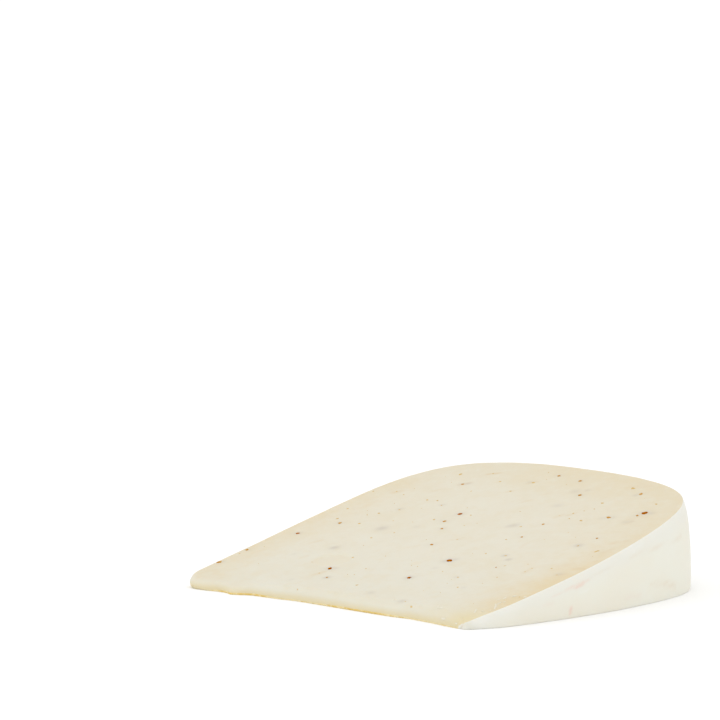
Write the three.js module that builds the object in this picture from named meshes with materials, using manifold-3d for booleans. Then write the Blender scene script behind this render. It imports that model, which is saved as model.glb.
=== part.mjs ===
// A wedge of semi-firm goat cheese with truffle flecks, lying on one of its two cut faces.
// It is a slice of a tall round wheel. Both flat faces are knife cuts that run the whole
// height of the wheel and nearly meet at the thin edge, and the curved outside is pale rind.
// Millimetres. X runs from the thin edge to the rim, Y across the wheel's height, Z up.

import * as THREE from "three";
import { mergeVertices } from "three/addons/utils/BufferGeometryUtils.js";
import Module from "manifold-3d";

// The wheel, whose axis lies along Y
const WHEEL_RADIUS = 109.2;
const WHEEL_HEIGHT = 101.4;
// The cuts just missed the middle of the wheel, so its axis is behind the thin edge and below the base
const AXIS_BEHIND_EDGE = 1.3;
const AXIS_BELOW_BASE = 3.5;
// Each side of the wheel: how it swells outwards from the axis and fills out at the shoulder,
// and how long it stays flat and how square the shoulder turns
const NEAR_SIDE = { swell: 0.235, fullness: 0.6, flatness: 2.7, squareness: 2.55 };
const FAR_SIDE = { swell: 0, fullness: 0.04, flatness: 6.3, squareness: 2.4 };
const FULLNESS_POWER = 6;
// The rim's crown sits towards the far side
const CROWN_SHIFT = 5.9;
const CROWN_POWER = 3;

// The cuts: the upper one is this high over the place where X is zero
const WEDGE_ANGLE = THREE.MathUtils.degToRad(13);
const THIN_EDGE = 3.55;
// The upper cut rolls down softly towards the thin edge
const ROLL_FROM = 2.5;
const ROLL_RADIUS = 33;

// The thin edge's uneven line, as places across the wheel and how far they reach beyond X zero
const EDGE_LINE = [
  { across: 45, reach: 5.2 },
  { across: 41.5, reach: 4.9 },
  { across: 38, reach: 3.9 },
  { across: 35, reach: 4.2 },
  { across: 32, reach: 5.2 },
  { across: 28.5, reach: 2.4 },
  { across: 25, reach: 1.8 },
  { across: 20, reach: 1.5 },
  { across: 12.5, reach: 0.4 },
  { across: 0, reach: 0.6 },
  { across: -12, reach: 0.9 },
  { across: -21, reach: 0.9 },
  { across: -26.5, reach: 0.2 },
  { across: -36, reach: 1.2 },
  { across: -42, reach: 2.2 },
];
// The far end of the thin edge is round, and the near end sweeps back into the near side
const FAR_CORNER_FROM = 2;
const NEAR_CORNER_REACH = 2.7;
const NEAR_SWEEP = 13.7;
const NEAR_INSET = 3.4;
const SIDE_FLARE = THREE.MathUtils.degToRad(8);

// Truffle flecks that stand slightly proud of the upper cut face
const BOLD_FLECKS = [
  { along: 15, across: 15, length: 2.6 },
  { along: 17, across: -11.5, length: 2.2 },
  { along: 31.5, across: -12.5, length: 2.6 },
  { along: 34.5, across: 44.5, length: 1.8 },
  { along: 40, across: 1, length: 1.8 },
  { along: 45.5, across: 39, length: 1.8 },
  { along: 63, across: 11, length: 2.2 },
  { along: 84, across: 28, length: 1.8 },
  { along: 87, across: -11.5, length: 1.9 },
  { along: 98.5, across: 6, length: 1.9 },
  { along: 74.5, across: -31.5, length: 2.2 },
  { along: 81, across: -39, length: 2.8 },
];
const SMALL_FLECKS = 44;
const SMALL_FLECK_LENGTH = { least: 0.9, most: 1.5 };
const FLECK_WIDTH = 0.55;
const FLECK_THICKNESS = 0.6;
const FLECK_STANDS_PROUD = 0.22;
const FLECK_SPACING = 8.5;
const FLECK_MARGIN = 3.5;
const FLECK_SEED = 41;

// How finely the curves are cut into faces
const WHEEL_STEPS = 240;
const SIDE_STEPS = 24;
const CORNER_STEPS = 8;
const EDGE_STEPS = 60;

// How far the cutting outlines reach past the wheel
const REACH = 140;

// Half the wheel's height on one side, at a share of its radius
function sideHeight(side, share) {
  const swelling = 1 + side.swell * share + side.fullness * share ** FULLNESS_POWER;
  const shoulder = Math.max(1 - share ** side.flatness, 0) ** (1 / side.squareness);
  return 0.5 * WHEEL_HEIGHT * swelling * shoulder;
}

// Where the wheel's near and far surfaces are in Y, at a share of its radius
function wheelSpan(share) {
  const middle = CROWN_SHIFT * share ** CROWN_POWER;
  return {
    near: middle - sideHeight(NEAR_SIDE, share),
    far: middle + sideHeight(FAR_SIDE, share),
  };
}

// Shares of the radius from the axis to the rim, closer together round the shoulder
function radiusShares(side) {
  const shares = [];
  for (let step = 0; step <= SIDE_STEPS; step += 1) {
    const turn = (step / SIDE_STEPS) * (Math.PI / 2);
    shares.push(Math.sin(turn) ** (2 / side.flatness));
  }
  return shares;
}

// The wheel as a turned solid: its profile goes up the near side, over the rim and back
function wheelGeometry() {
  const nearPoints = radiusShares(NEAR_SIDE).map(
    (share) => new THREE.Vector2(share * WHEEL_RADIUS, wheelSpan(share).near),
  );
  const farPoints = radiusShares(FAR_SIDE).map(
    (share) => new THREE.Vector2(share * WHEEL_RADIUS, wheelSpan(share).far),
  );
  const profile = [...nearPoints, ...farPoints.reverse().slice(1)];
  const geometry = new THREE.LatheGeometry(profile, WHEEL_STEPS);
  geometry.translate(-AXIS_BEHIND_EDGE, 0, -AXIS_BELOW_BASE);
  return geometry;
}

// Height of the upper cut face over a place that is given along X, where it is flat
function cutHeight(x) {
  return THIN_EDGE + x * Math.tan(WEDGE_ANGLE);
}

// The space between the two cuts, seen from the side
function cutGeometry() {
  const centreX = ROLL_FROM + ROLL_RADIUS * Math.sin(WEDGE_ANGLE);
  const centreZ = cutHeight(ROLL_FROM) - ROLL_RADIUS * Math.cos(WEDGE_ANGLE);
  const backX = -EDGE_LINE[0].reach - 1;
  const backAngle = Math.acos((backX - centreX) / ROLL_RADIUS);
  const outline = new THREE.Shape();
  outline.moveTo(backX, 0);
  outline.lineTo(REACH, 0);
  outline.lineTo(REACH, cutHeight(REACH));
  outline.absarc(centreX, centreZ, ROLL_RADIUS, 0.5 * Math.PI + WEDGE_ANGLE, backAngle);
  outline.closePath();
  const geometry = new THREE.ExtrudeGeometry(outline, {
    depth: 2 * REACH,
    bevelEnabled: false,
    curveSegments: CORNER_STEPS,
  });
  geometry.rotateX(Math.PI / 2);
  geometry.translate(0, REACH, 0);
  return geometry;
}

// Where the near side's outline is on the base, with the sweep that leads into the thin edge
function sweptSide(x) {
  const share = Math.hypot(x + AXIS_BEHIND_EDGE, AXIS_BELOW_BASE) / WHEEL_RADIUS;
  const left = 1 - (x + NEAR_CORNER_REACH) / NEAR_SWEEP;
  return wheelSpan(share).near + NEAR_INSET * left ** 2;
}

// The outline seen from above: round far corner, uneven thin edge and swept near corner
function edgeGeometry() {
  const edgeShare = Math.hypot(AXIS_BEHIND_EDGE, AXIS_BELOW_BASE) / WHEEL_RADIUS;
  const farSide = wheelSpan(edgeShare).far;
  const tip = EDGE_LINE[0];
  const tipAcross = farSide - tip.across;
  const widening = REACH * Math.tan(SIDE_FLARE);
  const edge = EDGE_LINE.map((place) => new THREE.Vector2(-place.reach, place.across));
  edge.push(new THREE.Vector2(-NEAR_CORNER_REACH, sweptSide(-NEAR_CORNER_REACH)));
  const edgeCurve = new THREE.SplineCurve(edge);
  const outline = new THREE.Shape();
  outline.moveTo(REACH, sweptSide(NEAR_SWEEP - NEAR_CORNER_REACH) - widening);
  outline.lineTo(REACH, farSide + widening);
  outline.absellipse(
    FAR_CORNER_FROM,
    tip.across,
    FAR_CORNER_FROM + tip.reach,
    tipAcross,
    0.5 * Math.PI,
    Math.PI,
  );
  for (const place of edgeCurve.getPoints(EDGE_STEPS).slice(1)) {
    outline.lineTo(place.x, place.y);
  }
  for (let step = 1; step <= CORNER_STEPS; step += 1) {
    const x = -NEAR_CORNER_REACH + (step / CORNER_STEPS) * NEAR_SWEEP;
    outline.lineTo(x, sweptSide(x));
  }
  outline.closePath();
  const geometry = new THREE.ExtrudeGeometry(outline, {
    depth: REACH,
    bevelEnabled: false,
    curveSegments: CORNER_STEPS,
  });
  geometry.translate(0, 0, -REACH / 4);
  return geometry;
}

// The same numbers between 0 and 1 each time, from one seed
function seededDraw(seed) {
  let state = seed;
  return () => {
    state = (state * 1664525 + 1013904223) % 4294967296;
    return state / 4294967296;
  };
}

// Whether a place on the upper cut face lies inside the rind by a margin
function insideRind(along, across) {
  const x = along * Math.cos(WEDGE_ANGLE);
  const outwards = x + AXIS_BEHIND_EDGE + FLECK_MARGIN;
  const share = Math.hypot(outwards, cutHeight(x) + AXIS_BELOW_BASE) / WHEEL_RADIUS;
  if (share >= 1 || along < FLECK_MARGIN) {
    return false;
  }
  const span = wheelSpan(share);
  return across > span.near + FLECK_MARGIN && across < span.far - FLECK_MARGIN;
}

// Small flecks, spread evenly between the bold ones
function spreadFlecks(draw) {
  const flecks = [...BOLD_FLECKS];
  while (flecks.length < BOLD_FLECKS.length + SMALL_FLECKS) {
    const along = draw() * WHEEL_RADIUS;
    const across = (draw() - 0.5) * WHEEL_HEIGHT * 1.1;
    const size = SMALL_FLECK_LENGTH.most - SMALL_FLECK_LENGTH.least;
    const length = SMALL_FLECK_LENGTH.least + draw() * size;
    const crowded = flecks.some(
      (other) => Math.hypot(along - other.along, across - other.across) < FLECK_SPACING,
    );
    if (!crowded && insideRind(along, across)) {
      flecks.push({ along, across, length });
    }
  }
  return flecks;
}

// One fleck: a flattened, angular grain sunk into the sloping cut face
function fleckGeometry(fleck, draw) {
  const geometry = new THREE.IcosahedronGeometry(1, 0);
  geometry.scale(fleck.length / 2, fleck.length * FLECK_WIDTH * 0.5, FLECK_THICKNESS / 2);
  geometry.rotateZ(draw() * Math.PI);
  geometry.rotateY(-WEDGE_ANGLE);
  const x = fleck.along * Math.cos(WEDGE_ANGLE);
  const sunk = FLECK_THICKNESS / 2 - FLECK_STANDS_PROUD;
  geometry.translate(
    x + sunk * Math.sin(WEDGE_ANGLE),
    fleck.across,
    cutHeight(x) - sunk * Math.cos(WEDGE_ANGLE),
  );
  return geometry;
}

const wasm = await Module();
wasm.setup();

// A closed solid from a geometry, without the empty triangles at a turned shape's poles
function toSolid(geometry) {
  const bare = geometry.clone();
  bare.deleteAttribute("normal");
  bare.deleteAttribute("uv");
  const merged = mergeVertices(bare, 1e-4);
  const corners = Array.from(merged.index.array);
  const kept = [];
  for (let first = 0; first < corners.length; first += 3) {
    const [a, b, c] = corners.slice(first, first + 3);
    if (a !== b && b !== c && c !== a) {
      kept.push(a, b, c);
    }
  }
  const mesh = new wasm.Mesh({
    numProp: 3,
    vertProperties: new Float32Array(merged.attributes.position.array),
    triVerts: new Uint32Array(kept),
  });
  return new wasm.Manifold(mesh);
}

// A geometry from a solid, flat shaded
function toGeometry(solid) {
  const mesh = solid.getMesh();
  const geometry = new THREE.BufferGeometry();
  geometry.setAttribute("position", new THREE.BufferAttribute(mesh.vertProperties, 3));
  geometry.setIndex(new THREE.BufferAttribute(mesh.triVerts, 1));
  geometry.computeVertexNormals();
  return geometry;
}

// The wedge with its flecks, its base at height zero and its footprint centred on the origin
function wedgeGeometry() {
  const draw = seededDraw(FLECK_SEED);
  let wedge = toSolid(wheelGeometry());
  wedge = wedge.intersect(toSolid(cutGeometry()));
  wedge = wedge.intersect(toSolid(edgeGeometry()));
  for (const fleck of spreadFlecks(draw)) {
    wedge = wedge.add(toSolid(fleckGeometry(fleck, draw)));
  }
  const geometry = toGeometry(wedge);
  geometry.computeBoundingBox();
  const middle = geometry.boundingBox.getCenter(new THREE.Vector3());
  geometry.translate(-middle.x, -middle.y, 0);
  return geometry;
}

const cheeseColour = new THREE.MeshStandardMaterial({
  color: "#e8e2cf",
  roughness: 0.5,
  metalness: 0,
});
const cheese = new THREE.Mesh(wedgeGeometry(), cheeseColour);
cheese.name = "cheese_wedge";

const part = new THREE.Group();
part.add(cheese);

export default part;
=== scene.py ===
import math
import random

import bmesh
import bpy
from mathutils import Matrix, Vector, kdtree, noise
from mathutils.bvhtree import BVHTree


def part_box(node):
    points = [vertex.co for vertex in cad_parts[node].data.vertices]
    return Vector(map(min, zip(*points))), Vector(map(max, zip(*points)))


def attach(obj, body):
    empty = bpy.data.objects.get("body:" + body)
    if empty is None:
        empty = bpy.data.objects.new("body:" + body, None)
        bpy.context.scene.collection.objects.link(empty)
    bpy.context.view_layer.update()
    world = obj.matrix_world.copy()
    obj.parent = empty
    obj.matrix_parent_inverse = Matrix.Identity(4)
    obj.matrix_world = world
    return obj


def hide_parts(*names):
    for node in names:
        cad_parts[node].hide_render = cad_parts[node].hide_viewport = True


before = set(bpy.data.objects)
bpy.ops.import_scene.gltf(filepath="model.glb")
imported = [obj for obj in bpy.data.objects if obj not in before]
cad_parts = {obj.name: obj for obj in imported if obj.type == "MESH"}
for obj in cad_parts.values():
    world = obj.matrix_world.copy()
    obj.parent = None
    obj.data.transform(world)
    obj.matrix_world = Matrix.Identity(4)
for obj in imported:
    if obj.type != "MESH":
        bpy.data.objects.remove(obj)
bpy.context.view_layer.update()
lowest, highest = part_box("cheese_wedge")

MM = 0.001

# The wheel, whose axis lies along Y behind the thin edge and below the base
WHEEL_RADIUS = 109.2 * MM
WHEEL_HEIGHT = 101.4 * MM
AXIS_BEHIND_EDGE = 1.3 * MM
AXIS_BELOW_BASE = 3.5 * MM
# Each side of the wheel: how it swells and fills out, how long it stays flat, how square it turns
NEAR = {"sign": -1, "swell": 0.235, "fullness": 0.6, "flatness": 2.7, "squareness": 2.55}
FAR = {"sign": 1, "swell": 0.0, "fullness": 0.04, "flatness": 6.3, "squareness": 2.4}
FULLNESS_POWER = 6
CROWN_SHIFT = 5.9 * MM
CROWN_POWER = 3

# The cuts: the upper one is this high over X zero, and rolls down softly towards the thin edge
WEDGE_ANGLE = math.radians(13)
RISE = math.tan(WEDGE_ANGLE)
THIN_EDGE = 3.55 * MM
ROLL_FROM = 2.5 * MM
ROLL_RADIUS = 33 * MM
BASE_CUT = Vector((0, 0, -1))
# Towards its far end the thin edge is thicker, because the upper cut rolls down less there
ROLL_FADES = (30 * MM, 44 * MM)
# The upper cut also droops a little at the near corner, and along the near side towards the rim
CORNER_DROOP = 0.5 * MM
DROOP_REACH = 12 * MM
NEAR_SIDE_DROOP = 0.25 * MM
NEAR_SIDE_DROOP_GROWS = (15 * MM, 70 * MM)
NEAR_SIDE_DROOP_WIDTH = 45 * MM

# The thin edge's uneven line in millimetres: places across the wheel and the reach beyond X zero
EDGE_LINE = [
    (45, 5.2), (41.5, 4.9), (38, 3.9), (35, 4.2), (32, 5.2), (28.5, 2.4), (25, 1.8), (20, 1.5),
    (12.5, 0.4), (0, 0.6), (-12, 0.9), (-21, 0.9), (-26.5, 0.2), (-36, 1.2), (-42, 2.2),
]
# The far end of the thin edge is round, and the near end sweeps back into the near side
FAR_CORNER_FROM = 2 * MM
NEAR_CORNER_REACH = 2.7 * MM
NEAR_SWEEP = 13.7 * MM
NEAR_INSET = 3.4 * MM
NEAR_CORNER_ROUNDING = 1.2 * MM

# How far the soft edges reach along the faces beside them: the lips under the thin edge and under
# the rim, the ridge over the thin edge at its far end and its near end, and the rind's crisp edges
LIP_REACH = 0.2 * MM
RIM_LIP_REACH = 1.8 * MM
FAR_RIDGE_REACH = 1.2 * MM
NEAR_RIDGE_REACH = 3.2 * MM
RIND_EDGE_REACH = 0.24 * MM
CORNER_RIDGE_REACH = 0.5 * MM
# Where the ridge narrows towards the near corner, and the most that it takes of the wall's height
RIDGE_NARROWS = (0.92, 1)
RIDGE_SHARE_OF_WALL = 0.85
# The skin's lines stand straight up this near the wheel's axis, and follow its round this far out
LEANING_GROWS = (25 * MM, 85 * MM)
# How often the height of such a line is worked out anew until it settles
SETTLING_STEPS = 12

# How far the skin bulges between the cuts, and a power that says how high up it is widest
NOSE_BULGE = 0.5 * MM
NOSE_POWER = 1
NOSE_UNDERCUT = 0.15 * MM
UNDERCUT_HEIGHT = 1.4 * MM
UNDERCUT_POWER = 1.5
SIDE_BULGE = 0.3 * MM
RIM_BULGE = 0.55 * MM
RIM_POWER = 8

# The rind wraps round the near corner: it begins before it, low down, and has a bead and a crease
RIND_START_WAY = 0.9645
RIND_RISE_POWER = 0.3
BEAD_HEIGHT = 0.16 * MM
BEAD_PLACE_AND_WIDTH = (0.5 * MM, 0.4 * MM)
CREASE_DEPTH = 0.1 * MM
CREASE_PLACE_AND_WIDTH = (1.35 * MM, 0.35 * MM)

# Places on the way round the outline: 0 to 1 the thin edge, to 2 the near corner's sweep, to 3 the
# near side, to 4 the far side, and to 5 the far corner
NEAR_CORNER_WAY = 1
NEAR_SHOULDER_WAY = 2.72
FAR_SHOULDER_WAY = 3.3
FAR_CORNER_WAY = 4.5
WHOLE_WAY = 5
# Stretches of this way over which the bulge of the far corner's nose grows and dies away, then that
# of the rim, then that of both sides
NOSE_GROWS = (4.1, 4.7)
NOSE_ENDS = (0, 0.08)
RIM_GROWS = (2.1, 2.75)
RIM_ENDS = (3.3, 3.9)
SIDE_GROWS = (1.2, 2.0)
SIDE_ENDS = (3.8, 4)
# Shares of one part of the way: where the sweep's ridge ends, where the rim's lip widens, and where
# the far corner softens and its rind ends
SWEEP_RIDGE_ENDS = (0, 0.3)
RIM_LIP_WIDENS = (0.5, 0.8)
FAR_CORNER_SOFTENS = (0.2, 1)
FAR_RIND_END = 0.4

# How finely the skin is cut into faces
EDGE_STEPS = 176
SIDE_STEPS = 136
LIP_LEVELS = 4
WALL_LEVELS = 18
RIDGE_LEVELS = 9
OUTLINE_SAMPLES = 500
CORNER_CROWDING = 4
CROWDED_REACH = (2 * MM, 14 * MM)
# How many of the ridge's levels the rind covers
RIND_RIDGE_LEVELS = 6

# The photograph's view: the camera's place, turn, tilt and roll, and the focal length in pixels
PICTURE_SIZE = 720
CAMERA_FROM_WHEEL = Vector((-1.01608, -0.93438, 0.2154))
CAMERA_TURN = math.radians(-47.627)
CAMERA_TILT = math.radians(6.224)
CAMERA_ROLL = math.radians(1.001)
FOCAL_PIXELS = 5356.5
SENSOR_WIDTH = 36

# Flecks that show on the cheese: pixels across and down in the photograph, width in millimetres
DARK_FLECKS = [
    (645, 513, 1.8), (449.6, 560.5, 1.87), (330, 568.4, 1.34), (409, 577.7, 1.33), (460, 514, 1.36),
    (297.8, 533.3, 1.19),
]
BROWN_FLECKS = [
    (608, 517.5, 1.59), (462.5, 484.2, 1.28), (339.8, 523, 1.29), (580, 495.2, 1.36),
    (432, 544.5, 1.27), (444.4, 521.2, 1.57), (558.7, 475.9, 1.25), (580.2, 481, 1.32),
    (640.6, 494.2, 1.38), (442, 528.6, 1.17), (522, 537, 0.85), (543.1, 524.2, 0.97),
    (597, 538.2, 1.03), (219, 562.2, 1.6), (247, 549.7, 1.25), (637.3, 515.6, 1.0),
    (496, 567.4, 0.58), (326.8, 577.5, 0.8),
]
PALE_FLECKS = [
    (597, 551.2, 1.8), (656.4, 504.2, 1.65), (460.5, 474.3, 1.48), (493.2, 473.5, 0.85),
    (500, 481.6, 0.9), (510.4, 491.2, 1.15), (471.4, 491.2, 0.85), (403.6, 494.6, 0.8),
    (396.7, 491.5, 0.92), (427.2, 500, 1.0), (437.5, 500.7, 0.92), (441.5, 505.3, 0.87),
    (378.9, 513.2, 1.08), (367.1, 514.9, 0.78), (399, 509.9, 1.12), (434, 519.6, 1.12),
    (464.5, 525.5, 0.6), (470.6, 515.3, 0.85), (520.4, 511.6, 0.6), (633.2, 488.4, 1.55),
    (520.7, 526.6, 0.88), (506.4, 539.4, 1.05), (394.4, 532.7, 0.65), (371.5, 537.7, 1.0),
    (533.4, 482.6, 1.6), (602.8, 503.1, 1.28), (594.4, 508.9, 0.85), (584.5, 510.8, 0.8),
    (573.5, 513.3, 0.96), (569.3, 518.5, 0.85), (581.3, 520.6, 1.18), (551.5, 568.3, 0.98),
    (423.5, 590.5, 0.5), (411.5, 606.5, 1.0), (357, 585, 1.1), (347.5, 508.6, 1.25),
    (385.5, 556.2, 0.45), (353, 557.4, 1.05), (366, 568.5, 0.7), (354.4, 574.5, 0.5),
    (319, 573, 0.95), (312, 562, 0.5), (485.7, 553.5, 1.0), (505, 565.7, 0.9), (528, 564.3, 0.5),
    (532, 568.4, 0.95), (525, 571.6, 0.68), (497, 577.5, 0.72), (519.5, 597, 0.68),
    (557, 575, 0.78), (393.3, 520.7, 0.8), (467.5, 507.8, 0.5), (457.3, 539.5, 0.6),
    (426.3, 539.6, 0.6), (477, 523.3, 0.45), (373.3, 491.3, 0.9), (412.4, 522.2, 0.5),
    (578, 546, 1.35), (505.5, 555.6, 1.1), (359.5, 523.5, 1.4), (337.5, 518.5, 1.2),
    (457.5, 587.3, 1.05), (458.3, 577.3, 0.72), (405.5, 601.5, 0.6), (442.8, 571.4, 0.6),
    (297.5, 589.5, 0.55), (417.5, 566.6, 0.5), (411.5, 565.6, 0.48), (451.5, 579.4, 0.45),
    (559.5, 515.5, 0.42), (258.5, 563.5, 0.36), (363.5, 545.5, 0.4), (546.5, 479.5, 0.42),
    (548.5, 472.6, 0.5), (447.3, 583.3, 0.42), (421.5, 508.5, 0.4), (566.5, 484.5, 0.42),
    (544.5, 539.5, 0.42), (473.5, 603.5, 0.42), (482.5, 583.4, 0.42), (644.5, 498.4, 0.4),
    (411.5, 560.6, 0.4), (347.5, 574.5, 0.36), (568.5, 532.5, 0.42), (472.5, 553.4, 0.36),
    (575.5, 537.4, 0.36), (394.5, 503.5, 0.4), (440.5, 592.4, 0.36), (451.5, 482.4, 0.36),
    (445.5, 476.5, 0.36), (414.5, 488.5, 0.36), (367.5, 510.5, 0.36), (264.5, 546.5, 0.4),
    (592.5, 556.5, 0.4), (239.6, 553.4, 0.8),
]
# Grey smudges from flecks that lie just under the surface: pixels, width in millimetres, strength
SMUDGES = [
    (382, 528.3, 3.4, 0.95), (416, 527, 1.8, 0.35), (334.5, 547.6, 2.6, 1.1),
    (514.5, 525.3, 3.0, 0.8), (505, 555.5, 1.8, 1.1), (508.5, 559.5, 1.9, 1.1),
    (557.5, 505.6, 2.8, 0.5), (575.5, 491.4, 3.2, 0.55), (578.5, 545.5, 2.6, 1.0),
    (457, 577, 1.8, 0.5), (435, 568, 1.8, 0.35), (559, 574, 2.2, 0.6), (626, 522, 2.4, 0.5),
    (410, 577, 2.0, 0.4), (294, 554, 1.6, 0.35), (371, 592.6, 2.2, 0.6), (402, 601, 2.2, 0.9),
    (442, 505, 1.8, 0.6), (400, 509, 1.8, 0.8), (530, 482, 1.8, 0.6), (326.8, 577.4, 2.0, 1.0),
    (222, 561.5, 1.4, 0.6), (455.5, 559.4, 1.6, 0.5), (444, 561.3, 1.6, 0.4),
    (468.5, 483.6, 1.8, 0.7), (587.5, 490.4, 1.8, 0.6), (652, 513.4, 2.0, 0.5),
    (508, 526.4, 2.0, 0.4), (635.2, 495.3, 1.6, 0.6), (336, 568.3, 1.6, 0.5),
    (463.5, 587.5, 1.6, 0.4), (291.5, 579.5, 1.6, 0.35), (613, 517.6, 1.8, 0.4),
    (601.5, 518.4, 1.8, 0.3), (632, 521.4, 1.6, 0.3),
]
# Round dents in the upper cut: pixels of the middle, radius and depth in millimetres
DENTS = [(333, 560, 5.4, 0.16), (416, 563.5, 1.6, 0.08)]
# White scraps that the knife raised: pixels of both ends and width in millimetres
SCRAPS = [
    (495.2, 603.6, 494.2, 609.4, 0.6), (476.8, 608.6, 473.8, 613.2, 0.4),
    (439.8, 604.4, 437, 608.4, 0.3), (455.5, 622.8, 457.3, 624, 0.4),
    (497, 604.4, 501.5, 601.9, 0.5), (503, 599.2, 506, 597.2, 0.5), (512, 596.4, 517, 595.8, 0.7),
    (523.5, 597.4, 526.5, 596.8, 0.7), (436.5, 607.8, 444.5, 607.6, 0.65),
    (441.5, 618, 445.5, 618.6, 0.6), (393, 599, 397, 600, 0.5), (497.4, 600, 499.4, 599.4, 0.7),
    (503, 602.2, 505.4, 601.5, 0.5), (488.8, 610.6, 491, 610, 0.4), (481, 611.2, 484, 611.4, 0.5),
]
# Strokes of colour, three kinds on the near rind and two on the upper cut: pixels of both ends,
# width in millimetres and strength. Some are painted light: shade in the crease beside the bead, a
# highlight on the bead, and a highlight on the large dent's raised rim
STROKES = {
    "pink": [
        (553, 596.8, 565, 590.6, 0.5, 0.35), (565, 590.6, 571, 587.6, 0.7, 0.5),
        (571, 587.6, 577, 586.6, 0.9, 0.7), (577, 586.6, 584, 582.6, 1.1, 1.0),
        (584, 582.6, 589, 579.5, 0.6, 0.5), (571.2, 608, 570.6, 613.5, 0.9, 1.0),
        (570.6, 613.5, 570, 616, 0.8, 0.3), (545, 605, 552, 603, 1.4, 0.2),
        (626, 598, 640, 595, 1.6, 0.2),
    ],
    "brown": [
        (651, 549, 681, 537, 0.9, 0.5), (630, 557, 651, 549, 0.9, 0.3), (651, 585, 664, 583, 1.4, 0.4),
        (664, 583, 675, 586, 1.7, 0.6), (590, 578, 612, 566, 0.7, 0.3),
        # Painted shade in the crease beside the bead
        (463.2, 623.6, 461.4, 627.5, 0.5, 1.0),
    ],
    "chalk_and_bead_highlight": [
        (624, 552, 632, 545, 2.2, 0.4), (632, 550, 642, 543, 1.6, 0.4),
        (474, 622.5, 486, 619.5, 1.6, 0.5), (648, 537, 668, 522, 1.4, 0.3),
        # The first stroke on the next line is a painted highlight on the bead where the rind starts
        (459.6, 624.8, 459.2, 627, 0.5, 0.5), (500, 613, 520, 606, 1.2, 0.3),
        (632, 555, 634.5, 551.5, 0.4, 0.6), (639, 549, 641.5, 545.5, 0.4, 0.6),
        (578, 592.5, 587, 590, 0.5, 0.6),
    ],
    "pale": [
        # The first three pale strokes are a painted highlight on the large dent's raised rim
        (320, 556.8, 334, 554, 1.6, 0.5), (334, 554, 344, 553.8, 1.6, 0.9),
        (344, 553.8, 352, 556, 1.6, 0.8), (470, 583.5, 492, 585.5, 1.2, 0.5),
        (512, 573, 530, 575, 1.2, 0.4), (430, 527.5, 446, 525, 1.4, 0.4),
        (296, 543.5, 302, 541.5, 0.8, 0.6),
    ],
    "tan": [
        (488, 474.2, 498.5, 473.2, 1.4, 1.0), (528.5, 483.5, 537, 481.8, 1.6, 0.7),
        (460, 484.6, 469, 483, 1.6, 0.6), (568, 515.4, 575, 513.2, 1.4, 0.6),
        (555, 517.6, 563, 514.8, 1.2, 0.4), (362, 508, 377, 500.5, 1.8, 0.2),
        (394, 492.4, 401, 490.8, 2.0, 0.6), (524, 573, 532, 568, 1.4, 0.5),
        (558, 575, 566, 574, 1.4, 0.7), (576, 568, 584, 569, 1.6, 0.8),
        (314, 574.8, 324, 571.8, 1.4, 0.6), (301, 557.8, 307, 555.8, 1.2, 0.4),
        (520, 547.6, 527, 543.2, 1.2, 0.2), (521, 502.6, 531, 499.8, 1.2, 0.3),
        (525, 600, 533, 596.5, 1.6, 0.5), (312, 562.5, 322, 557, 1.0, 0.2),
        (566, 565, 574, 563.5, 1.6, 0.4), (602, 553, 611, 549.5, 1.4, 0.5),
        (626, 523.5, 632, 521.5, 1.4, 0.5), (205, 572, 214, 570, 1.6, 0.3),
        (310, 543, 322, 540, 1.6, 0.3), (451, 539.8, 460, 539, 1.4, 0.3),
        (432, 491.5, 440, 489.6, 1.2, 0.3), (541, 495, 549, 493.4, 1.2, 0.3),
        (630, 487.5, 648, 486, 2.6, 0.35), (612, 543.5, 626, 541, 2.0, 0.5),
        (628, 519.5, 645, 517.5, 2.4, 0.35), (507.5, 491.8, 513, 490.9, 1.4, 0.5),
    ],
}

# The darker bands inside the rind: how far they reach in, how strong they are, and the stretches of
# the way round over which they grow, weaken and widen
NEAR_BAND = 12 * MM
FAR_BAND = 22 * MM
WIDE_BAND = 28 * MM
TIP_BAND = 14 * MM
NEAR_BAND_STRENGTH = 0.69
RIM_BAND_STRENGTH = 0.15
FAR_BAND_STRENGTH = 0.1
WIDE_BAND_STRENGTH = 0.3
TIP_BAND_STRENGTH = 0.45
NEAR_BAND_GROWS = (1.0, 1.75)
NEAR_BAND_WEAKENS = (2.03, 2.3)
BAND_WIDENS = (2.3, 3.0)
WIDE_BAND_GROWS = (1.1, 1.6)
FAR_SIDE_BEGINS = (3.0, 3.25)
TIP_BAND_GROWS = (3.5, 3.8)
# The ridge's painted highlight: its width, its drop, and the stretches over which it ends and begins
RIDGE_HIGHLIGHT_WIDTH = 1.1 * MM
RIDGE_HIGHLIGHT_DROP = 0.25
RIDGE_HIGHLIGHT_ENDS = (0.72, 0.88)
RIDGE_HIGHLIGHT_BEGINS = (4.2, 4.6)

# How deep the surface's lumps are, and how long: broad and fine ones, and those of the golden lip,
# which end this far in from the thin edge and this high up
BROAD_RELIEF = 0.1 * MM
BROAD_LUMPS = 24 * MM
FINE_RELIEF = 0.035 * MM
FINE_LUMPS = 5 * MM
LIP_RELIEF = 0.1 * MM
LIP_LUMPS = 1.7 * MM
LIP_STRETCH = 0.6
LIP_DEPTH = (0.3 * MM, 1.6 * MM)
LIP_HEIGHT = (0.4 * MM, 1.0 * MM)
# The lumps grow from none at the base to this height
BASE_FLAT_TO = 0.4 * MM
# How far apart the noises of different seeds lie
NOISE_STRIDE = (17.3, 5.1, 11.7)
# A dent's hollow, its raised rim and all its reach, as shares of its radius
DENT_HOLLOW = (0.75, 1.05)
DENT_RIM_PLACE_AND_WIDTH = (1.1, 0.15)
DENT_REACH = 1.6
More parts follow.
